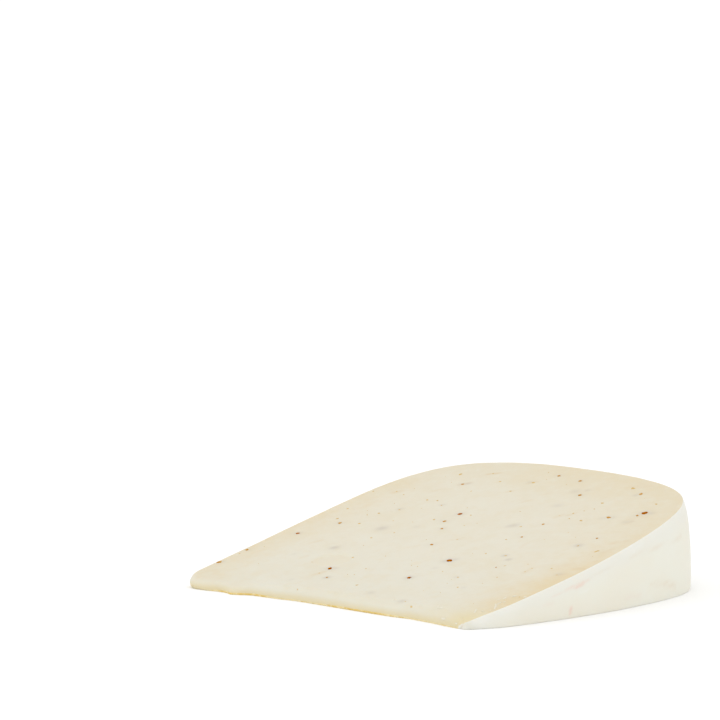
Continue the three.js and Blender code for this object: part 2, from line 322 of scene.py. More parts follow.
# How high the rim is against the hollow's depth, and how far the dent's colour reaches
DENT_RIM_HEIGHT = 0.5
DENT_COLOUR = (0.8, 1.05)
# Grey halos: their width against the fleck's, how strong they are, and how far a stain is looked for
HALO_WIDTH = 1.1
DARK_HALO = 0.6
BROWN_HALO = 0.3
STAIN_REACH = 6 * MM

# How wide the flecks in the underside are in millimetres, and how far from its outline and from X zero
UNDERSIDE_WIDTHS = (0.5, 1.1)
UNDERSIDE_MARGIN = 4 * MM
UNDERSIDE_FROM_EDGE = 3 * MM
# A fleck's thickness, its length against its width, how far it turns from the curd's grain, and how
# knobbly it is
FLECK_THICKNESS = 0.6 * MM
FLECK_LENGTHENING = (1.15, 1.45)
FLECK_TURN = 0.4
FLECK_KNOBS = 0.42
FLECK_KNOB_SPACING = 1.9
# The way that the curd's grain runs, as a turn from X
CURD_GRAIN = math.radians(42.4)
# A scrap's bow as a share of its length, its thickness as a share of its width, and its ragged edge
SCRAP_BOW = 0.35
SCRAP_THICKNESS = 0.22
SCRAP_RAGGEDNESS = 0.5
SCRAP_RAG_SPACING = 2.3
FLECK_SEED = 41
RELIEF_SEED = 7
SCRAP_SEED = 19
# How far the noise of a fleck or a scrap is moved
OFFSETS = (0, 100)

# How strong the white light is on the upper cut and on the sides, and the share of it that each of
# them gives back as a veil
LIGHT_LEVEL = 1.1
SIDE_LIGHT = 1.05
CUT_VEIL = 0.07
SIDE_VEIL = 0.02
# The floor, the light from all round, and the soft light from above
FLOOR_SIZE = 30
FLOOR_WHITE = (0.985, 0.985, 0.985, 1)
WORLD_STRENGTH = 0.99
SUN_STRENGTH = 0.42
SUN_SPREAD = math.radians(120)
SUN_PLACE = Vector((-0.6, -0.1, 1))

# Colours as they show on screen, of the paste
IVORY = (232, 226, 209)
IVORY_AT_RIM = (230, 222, 201)
IVORY_AT_THIN_EDGE = (231, 227, 212)
WARM_CLOUD = (230, 221, 198)
PALE_CLOUD = (233, 229, 213)
RIND_BAND = (230, 214, 180)
CORNER_YELLOW = (231, 218, 180)
# Painted highlight on the ridge and on a dent's rim, also the colour of pale marks
PALE_MARK_AND_HIGHLIGHT = (233, 230, 214)
DENT_YELLOW = (232, 223, 200)
STREAK_TAN = (224, 203, 166)
# Tan low on the edge face: partly its own colour, partly painted shade near the floor
WALL_TAN_AND_SHADE = (225, 212, 175)
# A painted golden glow at the thin edge's foot, for light through the edge and warm light from beneath
GOLD_PALE = (240, 223, 176)
GOLD_DEEP = (229, 198, 118)
STAIN = (204, 195, 182)
# Of the rind
RIND_WHITE = (236, 235, 223)
RIND_CREAM = (236, 233, 219)
# A painted highlight: the paler band where the rind turns up towards the cut
RIND_UNDER_CUT_HIGHLIGHT = (234, 233, 224)
RIND_LOW = (235, 228, 211)
# Painted shade on the rind at the near corner, down by the floor
RIND_CORNER_SHADE = (227, 225, 213)
RIND_STREAK = (235, 230, 215)
# Chalky marks, and the painted highlight on the bead
CHALK_AND_BEAD_HIGHLIGHT = (239, 239, 233)
# Brown marks, and the painted shade in the crease beside the bead
BROWN_MARK_AND_CREASE_SHADE = (228, 217, 198)
MARK_PINK = (234, 213, 198)
# Of the scraps, darker and lighter
SCRAP_WHITE = ((234, 227, 207), (242, 236, 219))
# Each kind of fleck: its piece, its finish, its places, how far it stands proud, how many lie in the
# underside, and its darker and lighter colour
FLECK_KINDS = (
    ("flecks_dark", "truffle_dark", DARK_FLECKS, 0.15 * MM, 14, (136, 62, 0), (194, 118, 6)),
    ("flecks_brown", "truffle_brown", BROWN_FLECKS, 0.12 * MM, 22, (186, 130, 30), (212, 166, 86)),
    ("flecks_pale", "truffle_pale", PALE_FLECKS, 0.08 * MM, 34, (210, 176, 108), (226, 200, 142)),
)

# Sizes of the clouds of colour and of the bumps
BROAD_CLOUDS = 22 * MM
MIDDLING_CLOUDS = 7 * MM
FINE_CLOUDS = 2.5 * MM
PASTE_BUMPS = 1.6 * MM
PASTE_BUMP_HEIGHT = 0.05 * MM
RIND_CLOUDS = 16 * MM
RIND_STREAKS = 5 * MM
RIND_STREAK_STRETCH = (0.6, 1, 1.8)
RIND_PATCHES = 1.6 * MM
RIND_BUMPS = 2.4 * MM
RIND_BUMP_HEIGHT = 0.06 * MM
GRAIN_MOTTLE = 0.7 * MM
GRAIN_BUMP_HEIGHT = 0.05 * MM
# Where the colours change, in millimetres in from the thin edge
TOWARDS_RIM = (65, 105)
TOWARDS_THIN_EDGE = (4, 45)
EDGE_FACE = (1, 3)
RIND_LOW_BEGINS = (8, 25)
RIND_LOW_ENDS = (45, 75)
# In millimetres below the upper cut
UNDER_CUT_HIGHLIGHT = (0.5, 7.0)
# Up the edge face, and up the rind
WALL_HEIGHTS = (0.2 * MM, 2.6 * MM)
RIND_LOW_HEIGHTS = (1 * MM, 8 * MM)
# How far the colours spread from the near corner and from a place beside it, and how far the painted
# shade spreads on the rind there
CORNER_SPREAD = (1 * MM, 9.5 * MM)
BESIDE_CORNER = Vector((0, 8 * MM, 0))
BESIDE_SPREAD = (3 * MM, 15 * MM)
RIND_CORNER_SHADE_SPREAD = (1 * MM, 5 * MM)
# The golden lip, a painted warm glow of light through the thin edge and warm light from beneath:
# where it ends along Y, its height, how it wavers and rises in millimetres, and how far it is
# richest round two places
GOLD_TO = 43.5 * MM
GOLD_FADE = 3 * MM
GOLD_HEIGHTS = (0.2 * MM, 0.44 * MM)
GOLD_LUMPS = 1.5 * MM
GOLD_WAVER = 0.4
GOLD_RISE = 0.25
GOLD_DEEPENS = (0.45, 0.75)
GOLD_DEEPER_WHERE_RICH = 0.15
RICHEST_SPREAD = (4 * MM, 12 * MM)
RICH_TOO_SPREAD = (7 * MM, 18 * MM)
# Warm clouds, broad to fine: the noise at which they set in and are full, and how strong they are
WARM_CLOUDS = ((0.35, 0.7, 0.35), (0.48, 0.72, 0.5), (0.52, 0.7, 0.35))
# Pale clouds, middling and fine: the noise up to which they are full and where they end, and how
# strong they are
PALE_CLOUDS = ((0.28, 0.48, 0.4), (0.3, 0.46, 0.3))
# How much of the band shows with the clouds of two sizes
BAND_MIDDLING = 0.9
BAND_FINE = 1.1
# Where clouds of the rind and of the grains set in and are full
RIND_CLOUDS_SHOW = (0.3, 0.7)
RIND_PATCHES_SHOW = (0.3, 0.6)
RIND_STREAKS_SHOW = (0.5, 0.8)
MOTTLE_SHOWS = (0.35, 0.65)
# Shares of the strokes, and roughness, each where the clouds are 0 and how much it rises with them
TAN_SHOWS = (0.3, 0.7)
BROWN_AND_SHADE_SHOWS = (0.4, 0.6)
PINK_SHOWS = (0.5, 0.5)
PASTE_ROUGHNESS = (0.52, 0.12)
RIND_ROUGHNESS = (0.45, 0.15)
GRAIN_ROUGHNESS = (0.6, 0.2)
# How strongly the colours cover what is under them, the last ones by the numbers of the points
CORNER_STRENGTH = 0.9
BESIDE_STRENGTH = 0.25
WALL_TAN_AND_SHADE_STRENGTH = 0.95
STAIN_STRENGTH = 0.6
UNDER_CUT_HIGHLIGHT_STRENGTH = 0.8
RIND_LOW_STRENGTH = 0.35
RIND_STREAK_STRENGTH = 0.2
CHALK_AND_BEAD_HIGHLIGHT_STRENGTH = 0.8
# The ridge layer is a painted highlight; the pale one is pale marks and a dent rim's painted highlight
PAINTED_LAYERS = (("ridge", 0.6, PALE_MARK_AND_HIGHLIGHT), ("dent", 0.5, DENT_YELLOW), ("pale", 0.8, PALE_MARK_AND_HIGHLIGHT))
# How far light sinks in, and how much the surface shines
SINK_SHARE = 0.2
SINK_DEPTH = 2 * MM
PASTE_SINK = (1.0, 0.8, 0.6)
RIND_SINK = (1.0, 0.85, 0.7)
SHINE = 0.3
# The sockets that take the two colours of a blend
BLEND_SOCKETS = (6, 7)


def mix(start, end, share):
    return start + (end - start) * share


def smooth_step(start, end, value):
    share = min(max((value - start) / (end - start), 0), 1)
    return share * share * (3 - 2 * share)


def bump_at(value, place, width):
    """A smooth bump that is 1 at its place"""
    return math.exp(-(((value - place) / width) ** 2))


def side_at(side, share):
    """Y of one side of the wheel, at a share of its radius"""
    swelling = 1 + side["swell"] * share + side["fullness"] * share**FULLNESS_POWER
    shoulder = max(1 - share ** side["flatness"], 0) ** (1 / side["squareness"])
    return CROWN_SHIFT * share**CROWN_POWER + side["sign"] * 0.5 * WHEEL_HEIGHT * swelling * shoulder


def share_at(x, height):
    """The share of the wheel's radius at a place in the wheel's own frame"""
    return min(math.hypot(x + AXIS_BEHIND_EDGE, height + AXIS_BELOW_BASE) / WHEEL_RADIUS, 1)


def row_shift():
    """What brings the wheel's own frame to the frame of the part"""
    shares = [step / OUTLINE_SAMPLES for step in range(1, OUTLINE_SAMPLES + 1)]
    nearest = min(side_at(NEAR, share) for share in shares)
    furthest = max(side_at(FAR, share) for share in shares)
    rim = math.sqrt(WHEEL_RADIUS**2 - AXIS_BELOW_BASE**2) - AXIS_BEHIND_EDGE
    across = 0.5 * (lowest.y + highest.y) - 0.5 * (nearest + furthest)
    return Vector((highest.x - rim, across, lowest.z))


SHIFT = row_shift()
CAMERA_PLACE = CAMERA_FROM_WHEEL + SHIFT
GOLD_RICHEST = Vector((-3.5 * MM, 30 * MM, 0)) + SHIFT
GOLD_RICH_TOO = Vector((0, -9 * MM, 0)) + SHIFT
NEAR_CORNER = Vector((-NEAR_CORNER_REACH, side_at(NEAR, share_at(-NEAR_CORNER_REACH, 0)) + NEAR_INSET))
EDGE_POINTS = [Vector((-reach * MM, across * MM)) for across, reach in EDGE_LINE] + [NEAR_CORNER]
ROLL_CENTRE_X = ROLL_FROM + ROLL_RADIUS * math.sin(WEDGE_ANGLE)
ROLL_CENTRE_Z = THIN_EDGE + ROLL_FROM * RISE - ROLL_RADIUS * math.cos(WEDGE_ANGLE)


def upper_cut_height(x, y):
    """Height of the upper cut over a place in the wheel's own frame"""
    height = THIN_EDGE + x * RISE
    if x < ROLL_FROM:
        rolled = ROLL_CENTRE_Z + math.sqrt(ROLL_RADIUS**2 - (x - ROLL_CENTRE_X) ** 2)
        height = mix(rolled, height, smooth_step(*ROLL_FADES, y))
    from_corner = math.hypot(x - NEAR_CORNER.x, y - NEAR_CORNER.y)
    height -= CORNER_DROOP * (1 - smooth_step(0, DROOP_REACH, from_corner))
    towards_rim = smooth_step(*NEAR_SIDE_DROOP_GROWS, x)
    return height - NEAR_SIDE_DROOP * towards_rim * smooth_step(0, NEAR_SIDE_DROOP_WIDTH, -y)


def height_over(place):
    """Height of the upper cut over a place of the part"""
    return upper_cut_height(place.x - SHIFT.x, place.y - SHIFT.y)


def upper_cut_normal(x, y):
    """The way that the upper cut faces over a place in the wheel's own frame"""
    step = 0.1 * MM
    rise_along = (upper_cut_height(x + step, y) - upper_cut_height(x - step, y)) / (2 * step)
    rise_across = (upper_cut_height(x, y + step) - upper_cut_height(x, y - step)) / (2 * step)
    return Vector((-rise_along, -rise_across, 1)).normalized()


class Upright:
    """One line of the skin, which rises from its foot on the base to the upper cut"""

    def __init__(self, foot, nearness, rind=1.0, ridge=RIND_EDGE_REACH, lip=RIND_EDGE_REACH):
        self.foot = foot
        self.nearness = nearness
        self.rind = rind
        self.ridge = ridge
        self.lip = lip
        self.way = 0.0
        self.height = None
        self.outwards = Vector((0, 0, 0))
        self.bulge = 0.0
        self.bulge_power = RIM_POWER
        self.undercut = 0.0

    def bulge_at(self, height):
        """How far the skin stands out between the cuts, less the undercut at its foot"""
        if self.height is None:
            return 0.0
        share = min(max(height / self.height, 0), 1)
        widest = (1 / (self.bulge_power + 1)) ** (1 / self.bulge_power)
        most = widest * (1 - widest**self.bulge_power)
        under = max(1 - height / UNDERCUT_HEIGHT, 0) ** UNDERCUT_POWER
        return self.bulge * share * (1 - share**self.bulge_power) / most - self.undercut * under

    def point(self, height):
        """The skin's point at a height, straight up near the axis and round with the wheel further out"""
        along = self.foot.x + AXIS_BEHIND_EDGE
        foot_radius = math.hypot(along, AXIS_BELOW_BASE)
        lean = smooth_step(*LEANING_GROWS, foot_radius)
        if lean > 0:
            level = height + AXIS_BELOW_BASE
            along = mix(along, math.sqrt(foot_radius**2 - level**2), lean)
        x = along - AXIS_BEHIND_EDGE
        foot_share = share_at(self.foot.x, 0)
        share = share_at(x, height)
        near_drift = side_at(NEAR, share) - side_at(NEAR, foot_share)
        far_drift = side_at(FAR, share) - side_at(FAR, foot_share)
        y = self.foot.y + mix(far_drift, near_drift, self.nearness)
        return Vector((x, y, height)) + SHIFT + self.outwards * self.bulge_at(height)

    def top(self):
        """Height at which the upper cut meets this line"""
        height = THIN_EDGE
        for _ in range(SETTLING_STEPS):
            place = self.point(height) - SHIFT
            height = upper_cut_height(place.x, place.y)
        return height


def on_spline(points, share):
    """A place on a smooth curve through points, from 0 at the first to 1 at the last"""
    place = share * (len(points) - 1)
    index = min(int(place), len(points) - 2)
    turn = place - index
    start = points[index]
    end = points[index + 1]
    leaving = (end - points[max(index - 1, 0)]) * 0.5
    arriving = (points[min(index + 2, len(points) - 1)] - start) * 0.5
    cubic = (start - end) * 2 + leaving + arriving
    square = (end - start) * 3 - leaving * 2 - arriving
    return ((cubic * turn + square) * turn + leaving) * turn + start


def edge_upright(way):
    """A line on the thin edge, from 0 at its far end to 1 at the near corner"""
    ridge = mix(FAR_RIDGE_REACH, NEAR_RIDGE_REACH, way)
    ridge = mix(ridge, CORNER_RIDGE_REACH, smooth_step(*RIDGE_NARROWS, way))
    past_start = max(way - RIND_START_WAY, 0) / (1 - RIND_START_WAY)
    rind = past_start**RIND_RISE_POWER
    return Upright(on_spline(EDGE_POINTS, way), way, rind, ridge, LIP_REACH)


def sweep_upright(way):
    """A line on the sweep behind the near corner, from 0 at the corner to 1 where it ends"""
    x = way * NEAR_SWEEP - NEAR_CORNER_REACH
    y = side_at(NEAR, share_at(x, 0)) + NEAR_INSET * (1 - way) ** 2
    ridge = mix(CORNER_RIDGE_REACH, RIND_EDGE_REACH, smooth_step(*SWEEP_RIDGE_ENDS, way))
    return Upright(Vector((x, y)), 1, 1, ridge)


def side_upright(side, start_x, turn):
    """A line on one side of the wheel, from 0 at a place along X to 1 at the crown of the rim"""
    first_angle = math.asin(share_at(start_x, 0) ** (side["flatness"] / 2))
    angle = mix(first_angle, math.pi / 2, turn)
    share = min(math.sin(angle) ** (2 / side["flatness"]), 1)
    x = math.sqrt((share * WHEEL_RADIUS) ** 2 - AXIS_BELOW_BASE**2) - AXIS_BEHIND_EDGE
    lip = mix(RIND_EDGE_REACH, RIM_LIP_REACH, smooth_step(*RIM_LIP_WIDENS, turn))
    return Upright(Vector((x, side_at(side, share))), 1 if side is NEAR else 0, lip=lip)


def far_corner_upright(way):
    """A line on the round far corner, from 0 at the far side to 1 at the thin edge's far end"""
    tip = EDGE_POINTS[0]
    side_y = side_at(FAR, share_at(FAR_CORNER_FROM, 0))
    angle = way * math.pi / 2
    x = FAR_CORNER_FROM - (FAR_CORNER_FROM - tip.x) * math.sin(angle)
    y = tip.y + (side_y - tip.y) * math.cos(angle)
    softness = smooth_step(*FAR_CORNER_SOFTENS, way)
    ridge = mix(RIND_EDGE_REACH, FAR_RIDGE_REACH, softness)
    lip = mix(RIND_EDGE_REACH, LIP_REACH, softness)
    rind = 1.0 if way < FAR_RIND_END else 0.0
    return Upright(Vector((x, y)), 0, rind, ridge, lip)


def sharp_outline(way):
    """The line at a place on the way round, with the near corner still sharp"""
    if way <= 1:
        return edge_upright(way)
    if way <= 2:
        return sweep_upright(way - 1)
    if way <= 3:
        return side_upright(NEAR, NEAR_SWEEP - NEAR_CORNER_REACH, way - 2)
    if way <= 4:
        return side_upright(FAR, FAR_CORNER_FROM, 4 - way)
    return far_corner_upright(way - 4)


def outline(way):
    """The line at a place on the way round, with the near corner rounded"""
    line = sharp_outline(way)
    start = 1 - NEAR_CORNER_ROUNDING / WHEEL_HEIGHT
    end = 1 + NEAR_CORNER_ROUNDING / NEAR_SWEEP
    if start < way < end:
        turn = (way - start) / (end - start)
        before = sharp_outline(start).foot
        after = sharp_outline(end).foot
        line.foot = mix(mix(before, NEAR_CORNER, turn), mix(NEAR_CORNER, after, turn), turn)
    return line


def even_ways(start, end, steps):
    """Ways that part a stretch of the outline into steps, shorter ones near the near corner"""
    ways = [mix(start, end, step / OUTLINE_SAMPLES) for step in range(OUTLINE_SAMPLES + 1)]
    feet = [outline(way % WHOLE_WAY).foot for way in ways]
    lengths = [0.0]
    for before, after in zip(feet, feet[1:]):
        closeness = 1 - smooth_step(*CROWDED_REACH, (after - NEAR_CORNER).length)
        lengths.append(lengths[-1] + (after - before).length * (1 + closeness * CORNER_CROWDING))
    found = []
    place = 0
    for step in range(steps):
        wanted = lengths[-1] * step / steps
        while lengths[place + 1] < wanted:
            place += 1
        share = (wanted - lengths[place]) / (lengths[place + 1] - lengths[place])
        found.append(mix(ways[place], ways[place + 1], share) % WHOLE_WAY)
    return found


def outwards(points, index):
    """The way out of the outline at one of its points, seen from above"""
    along = points[(index + 1) % len(points)] - points[index - 1]
    return Vector((along.y, -along.x, 0)).normalized()


def give_bulge(line, way):
    """Lets the skin bulge at the far corner's nose, and along both sides, most at the rim"""
    nose = smooth_step(*NOSE_GROWS, way) + 1 - smooth_step(*NOSE_ENDS, way)
    if nose > 0:
        line.bulge = NOSE_BULGE * nose
        line.undercut = NOSE_UNDERCUT * nose
        line.bulge_power = NOSE_POWER
    elif way > 1:
        rim = smooth_step(*RIM_GROWS, way) * (1 - smooth_step(*RIM_ENDS, way))
        side = smooth_step(*SIDE_GROWS, way) * (1 - smooth_step(*SIDE_ENDS, way))
        line.bulge = mix(SIDE_BULGE, RIM_BULGE, rim) * side


def all_uprights():
    """The lines of the skin in order, starting at the far corner of the thin edge"""
    ways = even_ways(FAR_CORNER_WAY - WHOLE_WAY, NEAR_CORNER_WAY, EDGE_STEPS)
    ways += even_ways(NEAR_CORNER_WAY, NEAR_SHOULDER_WAY, SIDE_STEPS)
    ways += even_ways(NEAR_SHOULDER_WAY, FAR_SHOULDER_WAY, EDGE_STEPS)
    ways += even_ways(FAR_SHOULDER_WAY, FAR_CORNER_WAY, SIDE_STEPS)
    lines = [outline(way) for way in ways]
    feet = [line.foot.copy() for line in lines]
    rind_start = outline(RIND_START_WAY).foot
    for index, (line, way) in enumerate(zip(lines, ways)):
        line.way = way
        line.outwards = outwards(feet, index)
        if RIND_START_WAY < way < 2:
            along = (feet[index] - rind_start).length
            bead = BEAD_HEIGHT * bump_at(along, *BEAD_PLACE_AND_WIDTH)
            crease = CREASE_DEPTH * bump_at(along, *CREASE_PLACE_AND_WIDTH)
            line.foot = feet[index] + line.outwards.to_2d() * (bead - crease)
        line.height = line.top()
        give_bulge(line, way)
    return lines


def soft_edge(edge, to_wall, to_cut, turn):
    """A point on a soft edge, from 0 on the wall beside it to 1 on the cut"""
    return edge + to_wall * (1 - turn) ** 2 + to_cut * turn**2


def skin_levels(lines):
    """Rows of points round the wedge, from the lower cut up over the skin to the upper cut"""
    rows = [[] for _ in range(LIP_LEVELS + WALL_LEVELS + RIDGE_LEVELS + 1)]
    for line in lines:
        base = line.point(0)
        top = line.point(line.height)
        lip = line.lip
        into_base = line.outwards * -lip
        upper_cut = upper_cut_normal(top.x - SHIFT.x, top.y - SHIFT.y)
        along = Vector((-line.outwards.y, line.outwards.x, 0))
        into_top = upper_cut.cross(along).normalized() * line.ridge
        ridge_drop = min(line.ridge, RIDGE_SHARE_OF_WALL * (line.height - lip))
        wall_top = line.height - ridge_drop
        for level in range(LIP_LEVELS):
            turn = 1 - level / LIP_LEVELS
            rows[level].append(soft_edge(base, line.point(lip) - base, into_base, turn))
        for level in range(WALL_LEVELS):
            rows[LIP_LEVELS + level].append(line.point(mix(lip, wall_top, level / WALL_LEVELS)))
        for level in range(RIDGE_LEVELS + 1):
            place = soft_edge(top, line.point(wall_top) - top, into_top, level / RIDGE_LEVELS)
            rows[LIP_LEVELS + WALL_LEVELS + level].append(place)
    for place in rows[-1]:
        place.z = height_over(place) + SHIFT.z
    return rows


def fill_cut(bm, edges):
    """Fills a cut face with a grid between its near side and its far side"""
    near_side = edges[EDGE_STEPS : EDGE_STEPS + SIDE_STEPS]
    far_side = edges[2 * EDGE_STEPS + SIDE_STEPS :]
    before = set(bm.verts)
    bmesh.ops.grid_fill(bm, edges=near_side + far_side, use_interp_simple=True)
    return [vertex for vertex in bm.verts if vertex not in before]


def ring_edges(ring):
    """The edges that join a row of vertices, in order"""
    edges = []
    for vertex, after in zip(ring, ring[1:] + ring[:1]):
        edges.append(next(edge for edge in vertex.link_edges if edge.other_vert(vertex) == after))
    return edges


def cheese_shape(bm, lines):
    """The closed skin and both cut faces, with the rind's faces given the second material"""
    rind_layer = bm.verts.layers.float.new("rind")
    rows = skin_levels(lines)
    bmesh.ops.create_circle(bm, segments=len(lines), radius=1)
    bm.verts.ensure_lookup_table()
    ring = list(bm.verts)
    edges = first_edges = ring_edges(ring)
    for level, row in enumerate(rows):
        if level > 0:
            lifted = bmesh.ops.extrude_edge_only(bm, edges=edges)["geom"]
            new_vertices = {item for item in lifted if isinstance(item, bmesh.types.BMVert)}
            after = []
            for vertex in ring:
                neighbours = [edge.other_vert(vertex) for edge in vertex.link_edges]
                after.append(next(neighbour for neighbour in neighbours if neighbour in new_vertices))
            ring = after
            edges = ring_edges(ring)
        for vertex, place, line in zip(ring, row, lines):
            vertex.co = place
            below_rim = level < LIP_LEVELS + WALL_LEVELS + RIND_RIDGE_LEVELS
            share = (place.z - lowest.z) / line.height
            vertex[rind_layer] = 1.0 if below_rim and (line.rind == 1 or share < line.rind) else 0.0
    for face in bm.faces:
        if min(vertex[rind_layer] for vertex in face.verts) > 0.5:
            face.material_index = 1
    fill_cut(bm, first_edges)
    for vertex in fill_cut(bm, edges):
        vertex.co.z = height_over(vertex.co) + SHIFT.z


def sort_by_place(items, place_of):
    """Puts points or faces in an order that is the same in every run"""
    sorted_items = sorted(items, key=lambda item: place_of(item)[:])
    ranks = {item: rank for rank, item in enumerate(sorted_items)}
    items.sort(key=ranks.get)
    items.index_update()


def noise_at(place, size, seed):
    """Smooth noise between -1 and 1, with lumps of about that size"""
    return noise.noise(place / size + Vector([seed * stride for stride in NOISE_STRIDE]))


def relief_at(place):
    """How far the surface stands out at a place, in broad waves and fine lumps"""
    broad = BROAD_RELIEF * noise_at(place, BROAD_LUMPS, RELIEF_SEED)
    fine = FINE_RELIEF * noise_at(place, FINE_LUMPS, RELIEF_SEED + 1)
    return broad + fine


def edge_x(y):
    """Where the thin edge's line is along X, at a place across the wheel"""
    inside = min(max(y, EDGE_POINTS[-1].y), EDGE_POINTS[0].y)
    for before, after in zip(EDGE_POINTS, EDGE_POINTS[1:]):
        if inside >= after.y:
            return mix(before.x, after.x, (before.y - inside) / (before.y - after.y))


def from_thin_edge(place):
    """How far a place is in from the thin edge's line"""
    return place.x - SHIFT.x - edge_x(place.y - SHIFT.y)


def lip_relief_at(place):
    """The thin edge's golden lip: a crumpled bead"""
    near_edge = 1 - smooth_step(*LIP_DEPTH, from_thin_edge(place))
    low = 1 - smooth_step(*LIP_HEIGHT, place.z)
    along = Vector((0, place.y, LIP_STRETCH * place.z))
    return near_edge * low * LIP_RELIEF * noise_at(along, LIP_LUMPS, RELIEF_SEED + 2)


def add_relief(bm):
    """Moves the finished skin in and out by small amounts, and keeps the base flat"""
    bm.normal_update()
    moves = []
    for vertex in bm.verts:
        off_base = smooth_step(0.0, BASE_FLAT_TO, vertex.co.z - lowest.z)
        lift = (relief_at(vertex.co) + lip_relief_at(vertex.co)) * off_base
        moves.append(vertex.normal * lift)
    for vertex, move in zip(bm.verts, moves):
        vertex.co += move
        vertex.co.z = max(vertex.co.z, lowest.z)


def press_dents(bm, skin):
    """Presses shallow round dents into the upper cut, each with a slightly raised rim"""
    for across, down, radius, depth in DENTS:
        middle, normal = seen_on(skin, across, down)
        for vertex in bm.verts:
            share = (vertex.co - middle).length / (radius * MM)
            if share < DENT_REACH and vertex.normal.dot(normal) > 0:
                hollow = 1 - smooth_step(*DENT_HOLLOW, share)
                rim = bump_at(share, *DENT_RIM_PLACE_AND_WIDTH)
                vertex.co += normal * depth * MM * (DENT_RIM_HEIGHT * rim - hollow)


def camera_axes():
    """Right, up and back of the photograph's camera, with its roll"""
    sine, cosine = math.sin(CAMERA_TURN), math.cos(CAMERA_TURN)
    level = math.cos(CAMERA_TILT)
    back = Vector((sine * level, -cosine * level, math.sin(CAMERA_TILT)))
    right = Vector((cosine, sine, 0))
    up = back.cross(right)
    rolled_right = right * math.cos(CAMERA_ROLL) + up * math.sin(CAMERA_ROLL)
    rolled_up = up * math.cos(CAMERA_ROLL) - right * math.sin(CAMERA_ROLL)
    return rolled_right, rolled_up, back


def sight(across, down):
    """Direction in which the camera sees a pixel of the photograph"""
    right, up, back = camera_axes()
    middle = PICTURE_SIZE / 2
    return right * (across - middle) / FOCAL_PIXELS + up * (middle - down) / FOCAL_PIXELS - back


def seen_on(skin, across, down):
    """The place on the cheese that a pixel of the photograph shows, and which way the skin faces"""
    place, normal, _, _ = skin.ray_cast(CAMERA_PLACE, sight(across, down))
    return place, normal


def paint(mesh, name, values):
    """Stores a number for each of a mesh's points"""
    attribute = mesh.attributes.new(name, "FLOAT", "POINT")
    attribute.data.foreach_set("value", values)


def tree_of(places):
    """A tree that finds the nearest of some places"""
    tree = kdtree.KDTree(len(places))
    for index, place in enumerate(places):
        tree.insert(place, index)
    tree.balance()
    return tree


def band_values(places, lines):
    """The darker band inside the rind: strong along the near side, with a wide weak one beside it,
    and faint along the far side but for the stretch next to the far corner"""
    rind_lines = [line for line in lines if line.rind == 1]
    tree = tree_of([line.point(height) for line in rind_lines for height in (0, line.height)])
    values = []
    for place in places:
        _, index, distance = tree.find(place)
        way = rind_lines[index // 2].way
        far = smooth_step(*FAR_SIDE_BEGINS, way)
        weaker = mix(NEAR_BAND_STRENGTH, RIM_BAND_STRENGTH, smooth_step(*NEAR_BAND_WEAKENS, way))
        strength = mix(smooth_step(*NEAR_BAND_GROWS, way) * weaker, FAR_BAND_STRENGTH, far)
        reach = mix(NEAR_BAND, FAR_BAND, smooth_step(*BAND_WIDENS, way))
        wide = WIDE_BAND_STRENGTH * smooth_step(*WIDE_BAND_GROWS, way) * (1 - far)
        tip = TIP_BAND_STRENGTH * smooth_step(*TIP_BAND_GROWS, way)
        value = strength * max(1 - distance / reach, 0)
        value += wide * max(1 - distance / WIDE_BAND, 0)
        values.append(value + tip * max(1 - distance / TIP_BAND, 0))
    return values


def stain_spots(skin):
    """Grey halos round the flecks, and smudges from flecks that lie just under the surface"""
    spots = []
    for flecks, strength in ((DARK_FLECKS, DARK_HALO), (BROWN_FLECKS, BROWN_HALO)):
        for across, down, width in flecks:
            spots.append((seen_on(skin, across, down)[0], HALO_WIDTH * width * MM, strength))
    for across, down, width, strength in SMUDGES:
        spots.append((seen_on(skin, across, down)[0], 0.5 * width * MM, strength))
    return spots


def spread(places, spots):
    """How much of a stain each place has"""
    tree = tree_of([middle for middle, _, _ in spots])
    values = []
    for place in places:
        value = 0.0
        for _, index, distance in tree.find_range(place, STAIN_REACH):
            _, size, strength = spots[index]
            value += strength * math.exp(-((distance / size) ** 2))
        values.append(min(value, 1))
    return values


def distance_to_stroke(place, start, end):
    """Distance from a place to a straight stroke"""
    along = end - start
    share = min(max((place - start).dot(along) / along.length_squared, 0), 1)
    return (place - start - along * share).length


def stroke_values(places, skin, strokes):
    """How much of one kind of stroke each place has"""
    seen = []
    for start_across, start_down, end_across, end_down, width, strength in strokes:
        start, _ = seen_on(skin, start_across, start_down)
        end, _ = seen_on(skin, end_across, end_down)
        seen.append((start, end, width * MM, strength))
    values = []
    for place in places:
        value = 0.0
        for start, end, width, strength in seen:
            near_stroke = bump_at(distance_to_stroke(place, start, end), 0, 0.5 * width)
            value = max(value, strength * near_stroke)
        values.append(value)
    return values


def ridge_highlight_values(places, lines):
    """The painted highlight on the soft ridge over the thin edge: 1 along it, down to 0 away from it"""
    tree = tree_of([line.point(line.height) - Vector((0, 0, RIDGE_HIGHLIGHT_DROP * line.ridge)) for line in lines])
    values = []
    for place in places:
        _, index, distance = tree.find(place)
        way = lines[index].way
        shown = smooth_step(*RIDGE_HIGHLIGHT_BEGINS, way)
        if way <= 1:
            shown = 1 - smooth_step(*RIDGE_HIGHLIGHT_ENDS, way)
        values.append(shown * bump_at(distance, 0, RIDGE_HIGHLIGHT_WIDTH))
    return values


def dent_values(places, skin):
    """1 inside the round dents of the upper cut"""
    values = [0.0] * len(places)
    for across, down, radius, _ in DENTS:
        middle, _ = seen_on(skin, across, down)
        start, end = [share * radius * MM for share in DENT_COLOUR]
        for index, place in enumerate(places):
            inside = 1 - smooth_step(start, end, (place - middle).length)
            values[index] = max(values[index], inside)
    return values


